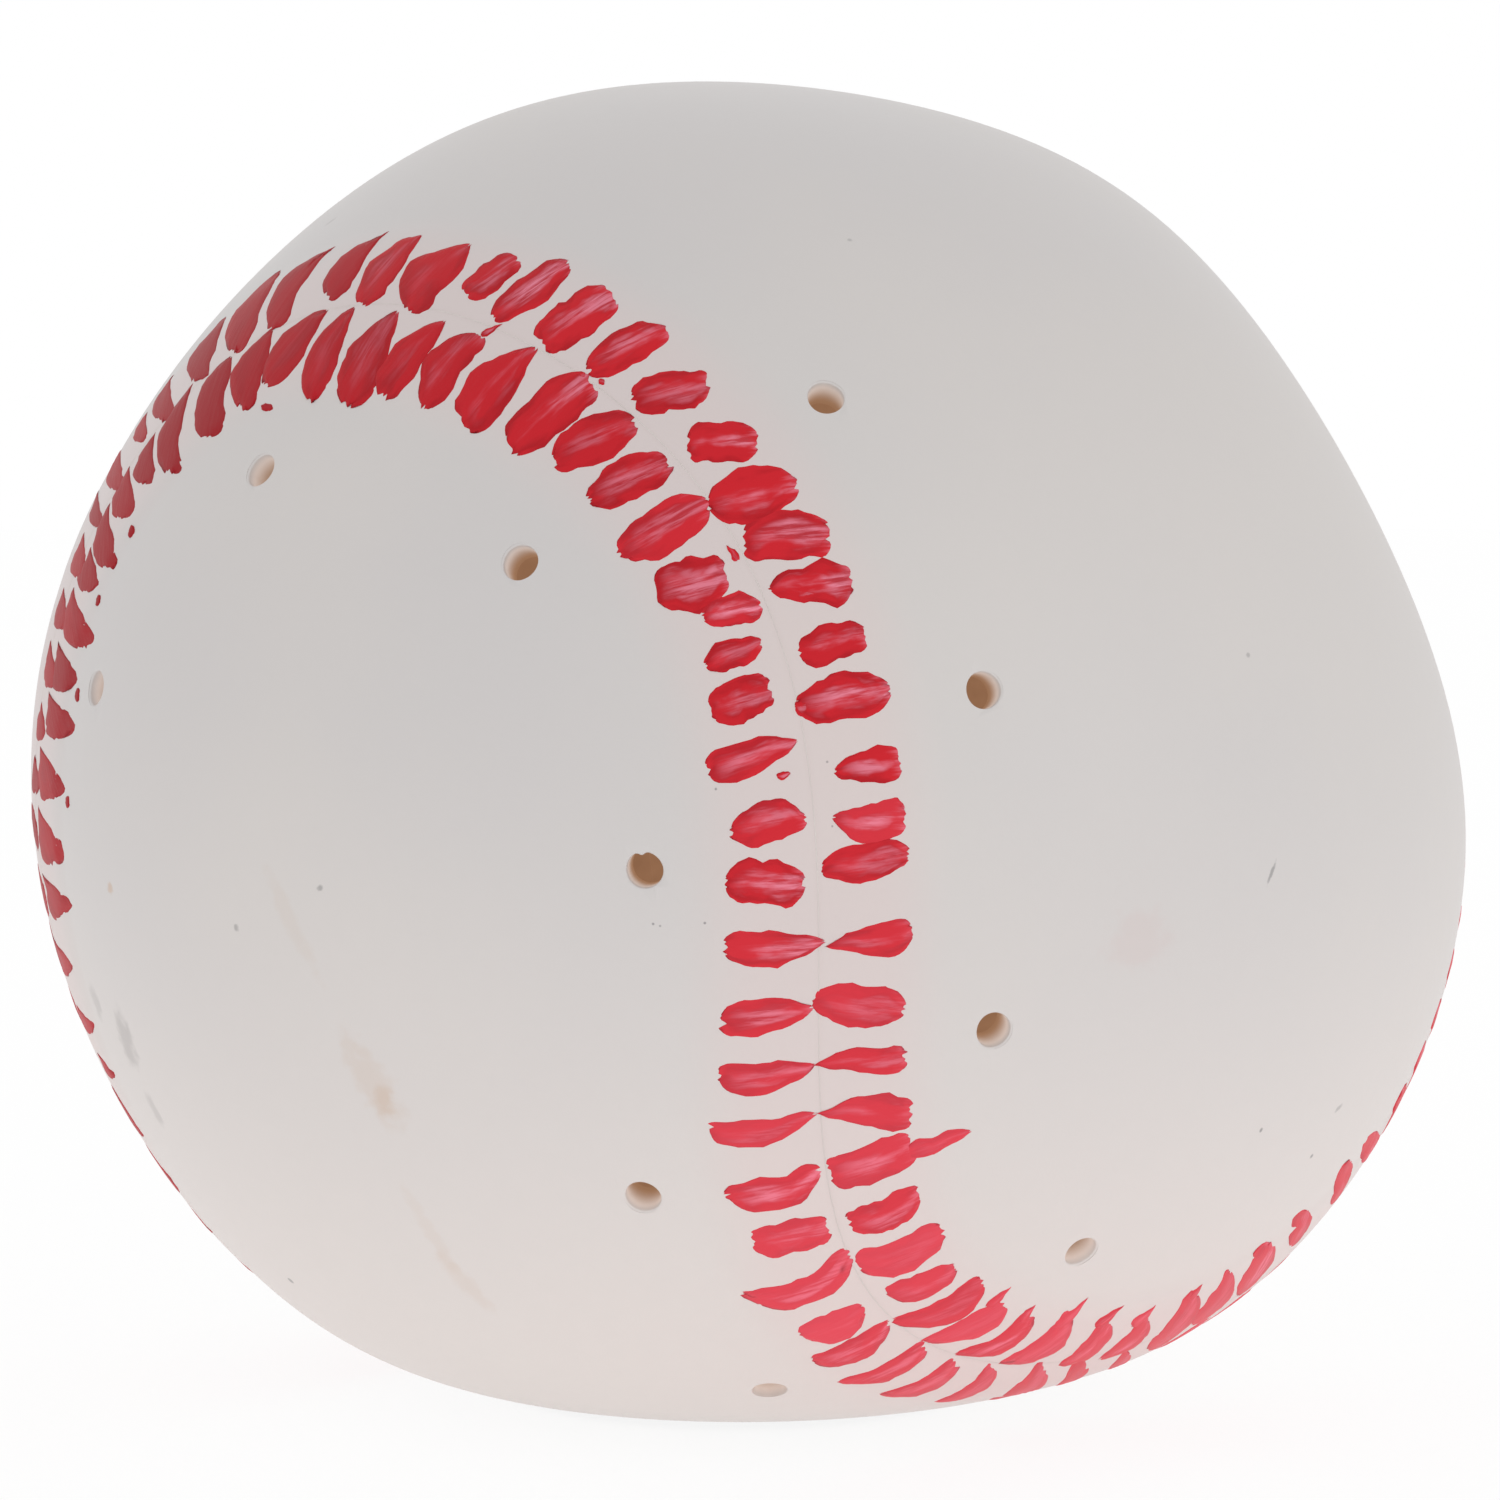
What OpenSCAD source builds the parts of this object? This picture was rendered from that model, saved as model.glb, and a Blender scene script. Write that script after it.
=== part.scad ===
// Hollow moulded play baseball: two figure-eight panels bonded edge to edge along the seam,
// vent holes in a row on both sides of it, and a painted stitch mark at every step of it.
// The ball is a little squashed, and stands on the flat of its underside.

/* [Ball] */
// Half the width of the ball before its flats are pressed in
half_w = 38.5; // [34:0.1:42]
// Half the depth of the ball before its flats are pressed in
half_d = 36; // [32:0.1:40]
// Half the height of the ball before its flats are pressed in
half_h = 38.1; // [34:0.1:42]
// Thickness of the moulded wall
wall = 1.8; // [1.2:0.1:2.6]
// Height of the slice that is missing where the ball rests
rest_cut = 0.3; // [0.2:0.05:0.6]

/* [Seam] */
// Width of the bond between the two panels
bond_w = 0.2; // [0.1:0.05:0.4]
// Depth of the groove that is left open above the bond
groove_d = 0.1; // [0.05:0.05:0.4]
// Half the angle between two passes of the seam at a waist of a panel
seam_waist = 38.5; // [34:0.5:42]
// How far the seam swings sideways on its way from one waist to the other
seam_swing = 14.5; // [10:0.5:18]

/* [Vents] */
// Diameter of a vent hole
vent_d = 1.6; // [1:0.1:3]
// Distance of the vents from the seam, along the surface
vent_gap = 8.6; // [8:0.1:10]

/* [Stitch marks] */
// Step from one pair of marks to the next, along the seam
mark_pitch = 3.2; // [2.8:0.1:4.5]
// Length of a mark, across the seam
mark_l = 4.1; // [3:0.1:4.6]
// Distance from the middle of the seam to the near end of a mark
mark_gap = 0.8; // [0.5:0.1:1.2]
// Thickness of the paint
mark_t = 0.15; // [0.1:0.05:0.4]
// Share of the pitch that a mark fills at its widest
mark_fill_share = 0.8; // [0.5:0.05:0.9]

/* [Hidden] */

// The ball is turned so that the left panel's front lobe faces forward and to the left
seam_turn_angles = [3, 11.5, -126];
// Slow wanderings that take the seam off its even course: three towards a pole of the ball,
// and two round it
skew_angle = 1;
lean_angle = 1;
twist_angle = 3.5;
drift_angle = -7.5;
shift_angle = 4.5;
// The seam has turned this far when it comes to the second panel's first tip
panel_turn = 180;

// Soft flats round the rim of the ball as seen from the front: the place of each in degrees,
// counted from the right towards the top, and its distance from the middle as a share of mean_r
flat_angles = [30, 80, 138, 216, 271];
flat_distance_shares = [0.983, 1.058, 1.146, 1.18, 0.908];
// How sharply a flat meets the round of the ball: the higher, the sharper
flat_sharpness = 11;

// Vents of one lobe of each panel, as stations in degrees along the seam, and the distance
// of each from the seam as a share of vent_gap. The far lobe has the same, half the seam on.
left_vent_angles = [-70, -20, 37, 80, 110, 136];
left_gap_shares = [1, 1.05, 1.02, 0.95, 1.04, 0.98];
right_vent_angles = [43, 68, 96, 148];
right_gap_shares = [0.89, 1.04, 0.99, 0.98];

// Half the outline of a painted mark: how far along it, and its half width there
mark_outline_shares = [[0, 0.2], [0.15, 0.62], [0.5, 1], [0.8, 0.75], [1, 0.15]];

mean_r = (half_w + half_d + half_h) / 3;
vent_facets = 32;
// Rows of a panel from tip to tip, and steps across it
panel_rows = 60;
panel_steps = 14;
row_turn = 360 / panel_rows;
seam_stations = 2 * panel_rows;
// Fine steps along the seam that measure its length
fine_steps = 360;
fine_turn = 720 / fine_steps;
// A mark lies this far clear of the wall below it
mark_seat = 0.03;
// Cutters run on past what they cut by this much
overrun = 1;

function unit(v) = v / norm(v);
function mix(a, b, share) = a * (1 - share) + b * share;

// Direction of the picture plane at a given place on the rim
function rim_dir(place) = [cos(place), 0, sin(place)];

// Distance from the middle of the ball to its outside, in the direction n. The round of the
// ball and each flat it faces have a say, and the nearest of them has by far the most.
function ball_r(n) =
    let (
        round = norm([n.x / half_w, n.y / half_d, n.z / half_h]),
        flats = [for (i = [0:len(flat_angles) - 1])
            max(0, n * rim_dir(flat_angles[i])) / (flat_distance_shares[i] * mean_r)],
        pulls = [for (k = concat([round], flats)) pow(k, flat_sharpness)]
    )
    1 / pow(pulls * [for (pull = pulls) 1], 1 / flat_sharpness);

// Point below the outside of the ball by a depth, in the direction n
function on_ball(n, depth = 0) = n * (ball_r(n) - depth);

// A direction turned about the three axes in order
function turn_x(v, a) = [v.x, v.y * cos(a) - v.z * sin(a), v.y * sin(a) + v.z * cos(a)];
function turn_y(v, a) = [v.x * cos(a) + v.z * sin(a), v.y, v.z * cos(a) - v.x * sin(a)];
function turn_z(v, a) = [v.x * cos(a) - v.y * sin(a), v.x * sin(a) + v.y * cos(a), v.z];
function turned(v) = turn_z(turn_y(turn_x(v, seam_turn_angles.x), seam_turn_angles.y), seam_turn_angles.z);
function from_angles(polar, round) = [sin(polar) * cos(round), sin(polar) * sin(round), cos(polar)];

// The seam is a closed curve of 720 degrees that passes each pole of the ball twice
function seam_polar(t) =
    90 - (90 - seam_waist) * cos(t) + skew_angle * sin(t / 2) + lean_angle * sin(t) + twist_angle * sin(1.5 * t);
function seam_round(t) = t / 2 + seam_swing * sin(2 * t) + drift_angle * sin(t / 2) + shift_angle * cos(t);
function seam_dir(t) = turned(from_angles(seam_polar(t), seam_round(t)));

// Direction along the seam, and across it towards the right panel
function seam_along(t) = unit(seam_dir(t + row_turn / 6) - seam_dir(t - row_turn / 6));
function seam_across(t) = cross(seam_dir(t), seam_along(t));

// Direction that lies a distance off the seam, towards the right panel if it is above zero
function beside_seam(t, distance) =
    let (a = distance / mean_r * 180 / PI)
    seam_dir(t) * cos(a) + seam_across(t) * sin(a);

// Point on the great circle from a to b
function between(a, b, share) =
    let (w = acos(a * b))
    (a * sin(w * (1 - share)) + b * sin(w * share)) / sin(w);

// Panel 0 is the left one and panel 1 the right one. Each row runs from edge to edge of the
// panel, and the rows shrink to a point at both tips.
function panel_sign(panel) = panel == 0 ? -1 : 1;
function edge_dir(panel, turn) = beside_seam(panel_turn * panel + turn, panel_sign(panel) * bond_w / 2);
function panel_row(panel, row, depth) =
    let (a = edge_dir(panel, row * row_turn), b = edge_dir(panel, -row * row_turn))
    [for (j = [0:panel_steps]) on_ball(between(a, b, j / panel_steps), depth)];
function panel_rows_at(panel, depth) = [for (i = [1:panel_rows - 1]) each panel_row(panel, i, depth)];
function panel_tips_at(panel, depth) = [for (turn = [0, 360]) on_ball(edge_dir(panel, turn), depth)];

// The outside of both panels gives the middle of the ball and the level that it stands on
outside = concat(panel_rows_at(0, 0), panel_rows_at(1, 0));
low = [for (i = [0:2]) min([for (p = outside) p[i]])];
high = [for (i = [0:2]) max([for (p = outside) p[i]])];
rest_z = low.z + rest_cut;
middle = [(low.x + high.x) / 2, (low.y + high.y) / 2, (rest_z + high.z) / 2];

// Length of the seam up to each fine step, as pairs of length and station
fine_points = [for (k = [0:fine_steps]) on_ball(seam_dir(k * fine_turn))];
seam_run = [
    for (k = 0, s = 0; k <= fine_steps; s = s + norm(fine_points[min(k + 1, fine_steps)] - fine_points[k]), k = k + 1)
        [s, k * fine_turn]
];
seam_l = seam_run[fine_steps][0];
mark_pairs = round(seam_l / mark_pitch);
function mark_station(k) = lookup(seam_l * ((k + mark_pairs) % mark_pairs) / mark_pairs, seam_run);

// Faces of a patch of rows: outside faces wind one way and inside faces the other
function flip(faces, yes) = yes ? [for (f = faces) [f[2], f[1], f[0]]] : faces;
function quad(a, b, c, d) = [[a, b, c], [a, c, d]];

// Shell between the outside, a ledge at the groove's depth on the rim, and the inside
module panel_shell(panel) {
    width = panel_steps + 1;
    row_count = panel_rows - 1;
    sheet = row_count * width;
    outer_tips = 2 * sheet;
    inner_tips = outer_tips + 2;
    ledge = inner_tips + 2;
    edge_turns = [for (k = [0:2 * panel_rows - 1]) k * row_turn];
    points = concat(
        panel_rows_at(panel, 0),
        panel_rows_at(panel, wall),
        panel_tips_at(panel, 0),
        panel_tips_at(panel, wall),
        [for (turn = edge_turns) on_ball(edge_dir(panel, turn), groove_d)]
    );

    function at(layer, row, j) =
        row == 0 ? (layer == 0 ? outer_tips : inner_tips)
        : row == panel_rows ? (layer == 0 ? outer_tips : inner_tips) + 1
        : layer * sheet + (row - 1) * width + j;
    // Edge station k counts on from the first tip along one side and back along the other
    function edge(layer, k) =
        let (m = k % (2 * panel_rows))
        m <= panel_rows ? at(layer, m, 0) : at(layer, 2 * panel_rows - m, panel_steps);
    function ledge_at(k) = ledge + k % (2 * panel_rows);
    function patch(layer) = [
        for (i = [1:panel_rows - 2], j = [0:panel_steps - 1])
            each quad(at(layer, i, j), at(layer, i, j + 1), at(layer, i + 1, j + 1), at(layer, i + 1, j)),
        for (j = [0:panel_steps - 1]) [at(layer, 0, 0), at(layer, 1, j + 1), at(layer, 1, j)],
        for (j = [0:panel_steps - 1])
            [at(layer, panel_rows, 0), at(layer, panel_rows - 1, j), at(layer, panel_rows - 1, j + 1)]
    ];
    rim = [
        for (k = [0:2 * panel_rows - 1])
            each concat(
                quad(edge(0, k), edge(0, k + 1), ledge_at(k + 1), ledge_at(k)),
                quad(ledge_at(k), ledge_at(k + 1), edge(1, k + 1), edge(1, k))
            )
    ];
    mirrored = panel == 1;
    polyhedron(points, concat(flip(patch(0), mirrored), flip(patch(1), !mirrored), flip(rim, mirrored)));
}

// What lies above the level that the ball stands on
module above_rest() {
    difference() {
        children();
        translate([low.x - overrun, low.y - overrun, low.z - overrun])
            cube([high.x - low.x + 2 * overrun, high.y - low.y + 2 * overrun, rest_cut + overrun]);
    }
}

// Straight hole through the wall, square to the ball
module vent(station, distance) {
    n = beside_seam(station, distance);
    round = atan2(n.y, n.x);
    rotate([0, 0, round])
        rotate([0, acos(n.z), 0])
            translate([0, 0, ball_r(n) - wall - overrun])
                cylinder(d = vent_d, h = wall + 2 * overrun, $fn = vent_facets);
}

module panel(index, stations, gap_shares) {
    translate(-middle)
        difference() {
            above_rest()
                panel_shell(index);
            for (half_seam = [0, 360], i = [0:len(stations) - 1])
                vent(stations[i] + half_seam, panel_sign(index) * vent_gap * gap_shares[i]);
        }
}

module panel_left() {
    color([0.84, 0.82, 0.81])
        panel(0, left_vent_angles, left_gap_shares);
}

module panel_right() {
    color([0.86, 0.84, 0.83])
        panel(1, right_vent_angles, right_gap_shares);
}

// Closed strip of bonding compound between the rims of the panels
module seam_bond() {
    stations = [for (k = [0:seam_stations - 1]) k * row_turn];
    corners = [for (t = stations)
        each [for (corner = [[0, groove_d], [1, groove_d], [1, wall], [0, wall]])
            on_ball(edge_dir(corner[0], t - panel_turn * corner[0]), corner[1])]
    ];
    function at(k, c) = (k % seam_stations) * 4 + c % 4;
    color([0.78, 0.74, 0.72])
        translate(-middle)
            above_rest()
                polyhedron(corners, [
                    for (k = [0:seam_stations - 1], c = [0:3])
                        each quad(at(k, c), at(k, c + 1), at(k + 1, c + 1), at(k + 1, c))
                ]);
}

// Points of one painted mark, rib by rib from its near end. It follows the surface across the
// seam, and is as wide as its neighbours leave room for.
function mark_points(k, sign) =
    let (
        t = mark_station(k),
        before = mark_station(k - 1),
        after = mark_station(k + 1),
        far_end = mark_gap + mark_l,
        step_near = norm(on_ball(beside_seam(after, sign * mark_gap)) - on_ball(beside_seam(before, sign * mark_gap))) / 2,
        step_far = norm(on_ball(beside_seam(after, sign * far_end)) - on_ball(beside_seam(before, sign * far_end))) / 2
    )
    [for (rib = mark_outline_shares)
        let (
            middle_point = on_ball(beside_seam(t, sign * (mark_gap + rib[0] * mark_l))),
            half = rib[1] * mark_fill_share * mix(step_near, step_far, rib[0]) / 2
        )
        each [for (corner = [[-half, 0], [half, 0], [half, mark_t], [-half, mark_t]])
            on_ball(unit(middle_point + seam_along(t) * sign * corner[0]), -mark_seat - corner[1])]
    ];

// A row of marks on one side of the seam. A mark that would reach below the level that the
// ball stands on is left out.
module stitch_marks(sign) {
    ribs = len(mark_outline_shares);
    mark_size = 4 * ribs;
    all_marks = [for (k = [0:mark_pairs - 1]) mark_points(k, sign)];
    marks = [for (m = all_marks) if (min([for (p = m) p.z]) > rest_z) m];
    function at(k, rib, c) = k * mark_size + rib * 4 + c % 4;
    color([0.8, 0.17, 0.22])
        translate(-middle)
            polyhedron([for (m = marks) each m], [
                for (k = [0:len(marks) - 1]) each [
                    for (rib = [0:ribs - 2], c = [0:3])
                        each quad(at(k, rib, c), at(k, rib + 1, c), at(k, rib + 1, c + 1), at(k, rib, c + 1)),
                    each quad(at(k, 0, 0), at(k, 0, 1), at(k, 0, 2), at(k, 0, 3)),
                    each quad(at(k, ribs - 1, 3), at(k, ribs - 1, 2), at(k, ribs - 1, 1), at(k, ribs - 1, 0))
                ]
            ]);
}

module stitch_marks_left() {
    stitch_marks(-1);
}

module stitch_marks_right() {
    stitch_marks(1);
}

panel_left();
panel_right();
seam_bond();
stitch_marks_left();
stitch_marks_right();
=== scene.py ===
import math
import bpy
import numpy as np
from mathutils import Euler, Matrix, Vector
from mathutils.kdtree import KDTree


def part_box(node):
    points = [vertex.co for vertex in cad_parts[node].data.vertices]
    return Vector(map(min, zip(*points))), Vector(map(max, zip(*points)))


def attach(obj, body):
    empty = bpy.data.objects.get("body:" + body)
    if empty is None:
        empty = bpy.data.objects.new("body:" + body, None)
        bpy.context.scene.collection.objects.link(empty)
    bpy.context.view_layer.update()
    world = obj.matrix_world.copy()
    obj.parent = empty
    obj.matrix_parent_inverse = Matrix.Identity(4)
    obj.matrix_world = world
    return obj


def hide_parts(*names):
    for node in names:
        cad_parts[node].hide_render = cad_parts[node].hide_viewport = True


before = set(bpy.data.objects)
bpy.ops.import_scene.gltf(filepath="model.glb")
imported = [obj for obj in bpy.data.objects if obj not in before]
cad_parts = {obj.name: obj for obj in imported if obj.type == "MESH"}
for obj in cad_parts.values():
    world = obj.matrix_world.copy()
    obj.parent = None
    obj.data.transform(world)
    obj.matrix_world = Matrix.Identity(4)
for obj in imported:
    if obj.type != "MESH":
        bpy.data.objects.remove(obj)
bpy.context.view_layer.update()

# The two panels are figure-eight shells of soft white vinyl, moulded with a wall thinner than a
# coin and bonded edge to edge. A pin in the mould leaves each vent, a short hole beside the seam.
# The hollow ball is a little squashed, and stands on the flat of its underside.
ball_half_sizes = np.array([0.0385, 0.036, 0.0381])
mean_radius = ball_half_sizes.mean()
wall = 0.0018
rest_cut = 0.0003
flat_angles = np.radians([30, 80, 138, 216, 271])
flat_distance_shares = np.array([0.983, 1.058, 1.146, 1.18, 0.908])
flat_sharpness = 11
seam_waist, seam_swing = 38.5, 14.5
skew_angle, lean_angle, twist_angle, drift_angle, shift_angle = 1, 1, 3.5, -7.5, 4.5
seam_turn = np.array(Euler((math.radians(3), math.radians(11.5), math.radians(-126))).to_matrix())
left, right = -1, 1


def unit(v):
    return v / np.linalg.norm(v, axis=-1, keepdims=True)


def ball_radius(n):
    """Distance from the middle of the ball to its outside, in the directions n."""
    rim = np.stack([np.cos(flat_angles), 0 * flat_angles, np.sin(flat_angles)])
    flats = np.clip(n @ rim, 0, None) / (flat_distance_shares * mean_radius)
    round_pull = np.linalg.norm(n / ball_half_sizes, axis=-1)
    pulls = np.concatenate([round_pull[..., None], flats], axis=-1)
    return (pulls ** flat_sharpness).sum(-1) ** (-1 / flat_sharpness)


def seam_direction(t):
    """Direction from the middle of the ball to the seam, which closes after 720 degrees."""
    a = np.radians(t)
    polar = np.radians(90 - (90 - seam_waist) * np.cos(a) + skew_angle * np.sin(a / 2)
                       + lean_angle * np.sin(a) + twist_angle * np.sin(1.5 * a))
    turn = a / 2 + np.radians(seam_swing * np.sin(2 * a) + drift_angle * np.sin(a / 2)
                              + shift_angle * np.cos(a))
    n = np.stack([np.sin(polar) * np.cos(turn), np.sin(polar) * np.sin(turn), np.cos(polar)], -1)
    return n @ seam_turn.T


def seam_along(t):
    return unit(seam_direction(t + 1) - seam_direction(t - 1))


def beside_seam(t, distance):
    """Direction that lies a distance off the seam, towards the right panel if it is above zero."""
    a = np.expand_dims(distance / mean_radius, -1)
    n = seam_direction(t)
    return n * np.cos(a) + np.cross(n, seam_along(t)) * np.sin(a)


def panel_directions(side, gap, rows, shares):
    """Rows of directions from edge to edge of a panel, and the directions of its two tips."""
    def edge(turn):
        return beside_seam(turn + (180 if side == right else 0), side * gap / 2 + 0 * turn)
    turn = 360 * np.arange(1, rows) / rows
    a, b = edge(turn)[:, None], edge(-turn)[:, None]
    w = np.arccos((a * b).sum(-1, keepdims=True))
    s = shares[None, :, None]
    return (a * np.sin(w * (1 - s)) + b * np.sin(w * s)) / np.sin(w), edge(np.array([0.0, 360.0]))


def on_ball(n, depth=0):
    return n * (ball_radius(n) - depth)[..., None]


# The part's frame has its middle at the middle of these coarse rows, as the solids do.
bond_width = 0.0002
coarse_rows, coarse_steps = 60, 14
coarse = np.concatenate([
    on_ball(n).reshape(-1, 3)
    for side in (left, right)
    for n in panel_directions(side, bond_width, coarse_rows, np.arange(coarse_steps + 1) / coarse_steps)])
rest_height = coarse[:, 2].min() + rest_cut
ball_low = np.append(coarse.min(0)[:2], rest_height)
ball_middle = (ball_low + coarse.max(0)) / 2

seam_step = 0.25
seam_turns = np.arange(0, 720, seam_step)
seam_points = on_ball(seam_direction(seam_turns))
seam_tree = KDTree(len(seam_points))
for index, point in enumerate(seam_points):
    seam_tree.insert(point, index)
seam_tree.balance()
band_half_width, band_height, band_edge = 0.0053, 0.0001, 0.0005
groove_depth, groove_half_width = 0.000015, 0.0002


def seam_distances(points):
    flat = points.reshape(-1, 3)
    return np.array([seam_tree.find(p)[2] for p in flat]).reshape(points.shape[:-1])


def outside_of(n):
    """Points on the outside in the directions n: the raised band, the groove and the flat foot."""
    d = seam_distances(on_ball(n))
    rise = np.clip((band_half_width - d) / band_edge + 0.5, 0, 1)
    relief = band_height * rise * rise * (3 - 2 * rise)
    relief -= groove_depth * np.exp(-(d / groove_half_width) ** 2)
    points = on_ball(n, -relief)
    points[..., 2] = np.maximum(points[..., 2], rest_height)
    return points


def mesh_object(name, points, faces):
    """A smooth mesh in the part's frame from points in the ball's own frame."""
    mesh = bpy.data.meshes.new(name)
    mesh.from_pydata((np.asarray(points) - ball_middle).tolist(), [], faces)
    mesh.shade_smooth()
    thing = bpy.data.objects.new(name, mesh)
    bpy.context.scene.collection.objects.link(thing)
    return thing


panel_rows, panel_steps = 240, 80
panel_shares = (1 - np.cos(np.pi * np.arange(panel_steps + 1) / panel_steps)) / 2
panel_gap = 0.00003


def sheet_faces(rows, steps, first, tips, mirrored):
    """Faces of a sheet of rows that ends in a tip at both ends."""
    width = steps + 1
    at = first + np.arange((rows - 1) * width).reshape(rows - 1, width)
    faces = np.stack([at[:-1, :-1], at[1:, :-1], at[1:, 1:], at[:-1, 1:]], -1).reshape(-1, 4).tolist()
    faces += [[tips[0], a, b] for a, b in zip(at[0, :-1].tolist(), at[0, 1:].tolist())]
    faces += [[tips[1], b, a] for a, b in zip(at[-1, :-1].tolist(), at[-1, 1:].tolist())]
    return [face[::-1] for face in faces] if mirrored else faces


def panel_shell(name, side):
    """A closed shell: the outside, the inside, and the rim between them."""
    rows, tips = panel_directions(side, panel_gap, panel_rows, panel_shares)
    sheet = rows.shape[0] * rows.shape[1]
    outside = [outside_of(rows).reshape(-1, 3), outside_of(tips)]
    inside = [on_ball(rows, wall).reshape(-1, 3), on_ball(tips, wall)]
    inner = sheet + 2
    outer_tips, inner_tips = (sheet, sheet + 1), (inner + sheet, inner + sheet + 1)
    faces = sheet_faces(panel_rows, panel_steps, 0, outer_tips, side == right)
    faces += sheet_faces(panel_rows, panel_steps, inner, inner_tips, side == left)
    at = np.arange(sheet).reshape(rows.shape[:2])
    rim = [outer_tips[0], *at[:, 0].tolist(), outer_tips[1], *at[::-1, -1].tolist()]
    for a, b in zip(rim, rim[1:] + rim[:1]):
        quad = [a, b, b + inner, a + inner]
        faces.append(quad if side == right else quad[::-1])
    return mesh_object(name, np.concatenate(outside + inside), faces)


vent_radius, vent_rim = 0.00084, 0.0001
vent_distance = 0.0086
vent_turns = {left: [-70, -20, 37, 80, 110, 136], right: [43, 68, 96, 148]}
vent_distance_shares = {left: [1, 1.05, 1.02, 0.95, 1.04, 0.98], right: [0.89, 1.04, 0.99, 0.98]}
vent_facets = 48
vent_oval, vent_lobes = 0.02, 0.012
burr_turn, burr_depth, burr_angle, burr_width = 80, 0.2, math.radians(100), 0.22
sharp_angle = math.radians(40)
vent_random = np.random.default_rng(7)


def vent_pin(n, burr):
    """A turned pin with a flared top, square to the ball. A burr pushes one side of it in."""
    curve = np.radians(np.arange(0, 91, 15))
    flare = vent_radius + vent_rim * (1 - np.cos(curve))
    radii = [0, vent_radius, *flare, vent_radius + vent_rim, 0]
    heights = [-wall * 1.5, -wall * 1.5, *(vent_rim * (np.sin(curve) - 1)), wall / 2, wall / 2]
    x = unit(np.cross([0, 0, 1], n))
    y = np.cross(n, x)
    turn = np.arange(vent_facets) * 2 * np.pi / vent_facets
    shape = 1 + vent_oval * np.cos(2 * turn + vent_random.uniform(0, 6)) + vent_lobes * np.cos(3 * turn)
    if burr:
        shape = shape - burr_depth * np.exp(-((turn - burr_angle) / burr_width) ** 2)
    ring = np.cos(turn)[:, None] * x + np.sin(turn)[:, None] * y
    points = [n * (ball_radius(n) + heights[0])]
    for radius, height in zip(radii[1:-1], heights[1:-1]):
        points.extend(n * (ball_radius(n) + height) + ring * (radius * shape)[:, None])
    points.append(n * (ball_radius(n) + heights[-1]))
    return np.array(points)


def vent_pin_faces(first, count):
    rings = (count - 2) // vent_facets
    around = list(zip(range(vent_facets), [*range(1, vent_facets), 0]))
    faces = [[first, first + 1 + b, first + 1 + a] for a, b in around]
    for ring in range(rings - 1):
        low, high = first + 1 + ring * vent_facets, first + 1 + (ring + 1) * vent_facets
        faces += [[low + a, low + b, high + b, high + a] for a, b in around]
    last = first + 1 + (rings - 1) * vent_facets
    return faces + [[first + count - 1, last + a, last + b] for a, b in around]


def vent_pins(side):
    points, faces = [], []
    for half in (0, 360):
        for turn, share in zip(vent_turns[side], vent_distance_shares[side]):
            n = beside_seam(np.array(turn + half), np.array(side * vent_distance * share))
            pin = vent_pin(n, turn == burr_turn and half == 0)
            faces += vent_pin_faces(sum(map(len, points)), len(pin))
            points.append(pin)
    return mesh_object("vent_pins", np.concatenate(points), faces)


def finished_mesh(thing):
    """Bakes the modifiers of an object into its mesh."""
    evaluated = thing.evaluated_get(bpy.context.evaluated_depsgraph_get())
    mesh = bpy.data.meshes.new_from_object(evaluated)
    thing.modifiers.clear()
    thing.data = mesh
    mesh.name = thing.name


def drill(panel, pins):
    cut = panel.modifiers.new("vents", "BOOLEAN")
    cut.operation, cut.solver, cut.object = "DIFFERENCE", "EXACT", pins
    finished_mesh(panel)
    bpy.data.objects.remove(pins)
    panel.data.set_sharp_from_angle(angle=sharp_angle)


def corner_points(mesh):
    points = np.zeros(len(mesh.vertices) * 3)
    mesh.vertices.foreach_get("co", points)
    return points.reshape(-1, 3) + ball_middle


def store(mesh, name, values):
    mesh.attributes.new(name, "FLOAT", "POINT").data.foreach_set("value", values.astype(np.float32))


def note_depths(panel):
    """Keeps how deep in the wall a point is, and how far it is from the seam in millimetres."""
    points = corner_points(panel.data)
    depths = ball_radius(unit(points)) - np.linalg.norm(points, axis=-1)
    store(panel.data, "wall_depth", np.clip(depths / wall, 0, 1))
    store(panel.data, "seam_distance", seam_distances(points) * 1000)


def add(tree, kind, inputs=None, **settings):
    """Adds a node with its settings, and its inputs by name or number as values or links."""
    node = tree.nodes.new(kind)
    for name, value in settings.items():
        setattr(node, name, value)
    for key, value in (inputs or {}).items():
        socket = node.inputs[key]
        if isinstance(value, bpy.types.NodeSocket):
            tree.links.new(value, socket)
        else:
            socket.default_value = value
    return node


def calc(tree, operation, *values, clamp=False):
    node = add(tree, "ShaderNodeMath", dict(enumerate(values)), operation=operation, use_clamp=clamp)
    return node.outputs[0]


def vector_calc(tree, operation, *values, number=False):
    node = add(tree, "ShaderNodeVectorMath", dict(enumerate(values)), operation=operation)
    return node.outputs["Value" if number else "Vector"]


def noise(tree, place, scale, detail=3, roughness=0.5):
    """Cloudy values from 0 to 1 with so many waves a metre."""
    inputs = {"Vector": place, "Scale": scale, "Detail": detail, "Roughness": roughness}
    return add(tree, "ShaderNodeTexNoise", inputs).outputs[0]


def ease(tree, value, low, high):
    """0 below low, 1 above high, and a smooth rise between them."""
    inputs = {"Value": value, "From Min": low, "From Max": high}
    return add(tree, "ShaderNodeMapRange", inputs, interpolation_type="SMOOTHSTEP").outputs["Result"]


def colour(red, green, blue):
    """A colour as a painter reads it off a screen, from 0 to 255."""
    parts = np.array([red, green, blue]) / 255
    return (*np.where(parts > 0.04045, ((parts + 0.055) / 1.055) ** 2.4, parts / 12.92), 1)


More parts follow.
